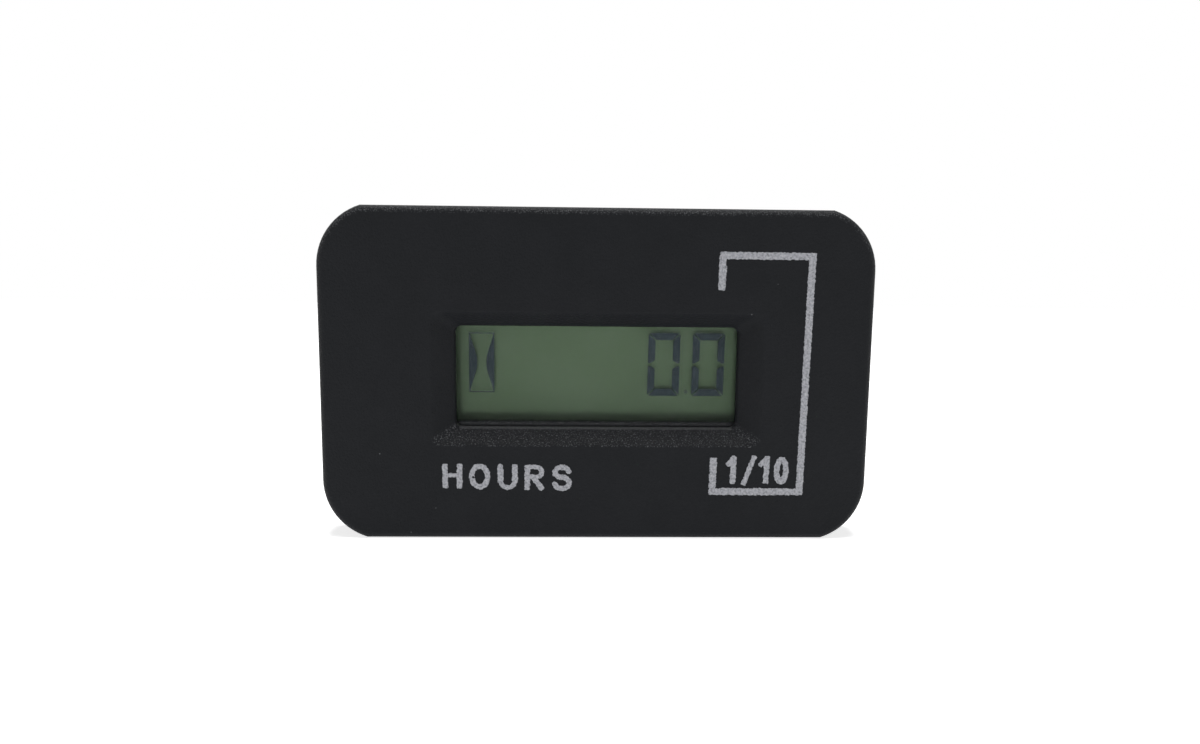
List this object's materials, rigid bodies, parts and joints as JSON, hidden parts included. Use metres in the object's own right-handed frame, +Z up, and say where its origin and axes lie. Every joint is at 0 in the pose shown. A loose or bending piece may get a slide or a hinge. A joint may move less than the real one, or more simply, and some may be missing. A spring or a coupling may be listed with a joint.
{
  "type": "hour meter",
  "caption": "Rectangular snap-in hour meter: black bezel with a sloped window recess, a reflective LCD, ratchet snap arms and blade terminals behind.",
  "frame": {"origin": "centre of the panel cut-out, on the plane where the bezel's rear rim meets the panel", "axes": "+X to the right as seen from the front, +Y into the panel along the body, +Z up; the face looks along -Y"},
  "size_m": [0.0546, 0.0315, 0.033],
  "materials": {
    "black_abs": "fine spark-eroded matte grain, black",
    "foam_rubber": "closed-cell foam, black",
    "seal_tape": "thin adhesive foam, black",
    "clear_polycarbonate": "clear, polished",
    "polarizer_film": "grey-green film, satin",
    "display_glass": "clear, polished",
    "reflector_film": "green-grey reflective film, satin",
    "black_nylon": "matte, black",
    "contact_elastomer": "matte, with fine conductive layers",
    "board_laminate": "green solder resist on glass laminate",
    "chip_epoxy": "moulded epoxy, black",
    "bright_can": "bright drawn can",
    "resistor_coat": "blue lacquer",
    "ceramic_chip": "fired ceramic with tinned ends",
    "cell_steel": "nickel-plated steel",
    "tinned_brass": "tin-plated, bright"
  },
  "bodies": {
    "root": {"housing": "black_abs", "rear_cover": "black_abs", "panel_gasket": "foam_rubber", "window_seal": "seal_tape", "window_lens": "clear_polycarbonate", "lcd_front_polarizer": "polarizer_film", "lcd_front_glass": "display_glass", "lcd_rear_glass": "display_glass", "lcd_rear_polarizer": "reflector_film", "lcd_holder": "black_nylon", "zebra_strip_upper": "contact_elastomer", "zebra_strip_lower": "contact_elastomer", "main_board": "board_laminate", "controller_chip": "chip_epoxy", "memory_chip": "chip_epoxy", "crystal_can": "bright_can", "bridge_rectifier": "chip_epoxy", "surge_diode": "chip_epoxy", "smoothing_capacitor": "bright_can", "dropping_resistor_left": "resistor_coat", "dropping_resistor_right": "resistor_coat", "coin_cell": "cell_steel", "cell_positive_tab": "tinned_brass", "cell_negative_tab": "tinned_brass", "terminal_left": "tinned_brass", "terminal_right": "tinned_brass", "chip_resistor_1": "ceramic_chip", "chip_capacitor_1": "ceramic_chip", "chip_resistor_2": "ceramic_chip", "chip_capacitor_2": "ceramic_chip", "chip_resistor_3": "ceramic_chip", "chip_capacitor_3": "ceramic_chip", "chip_resistor_4": "ceramic_chip", "chip_capacitor_4": "ceramic_chip"}
  },
  "joints": []
}
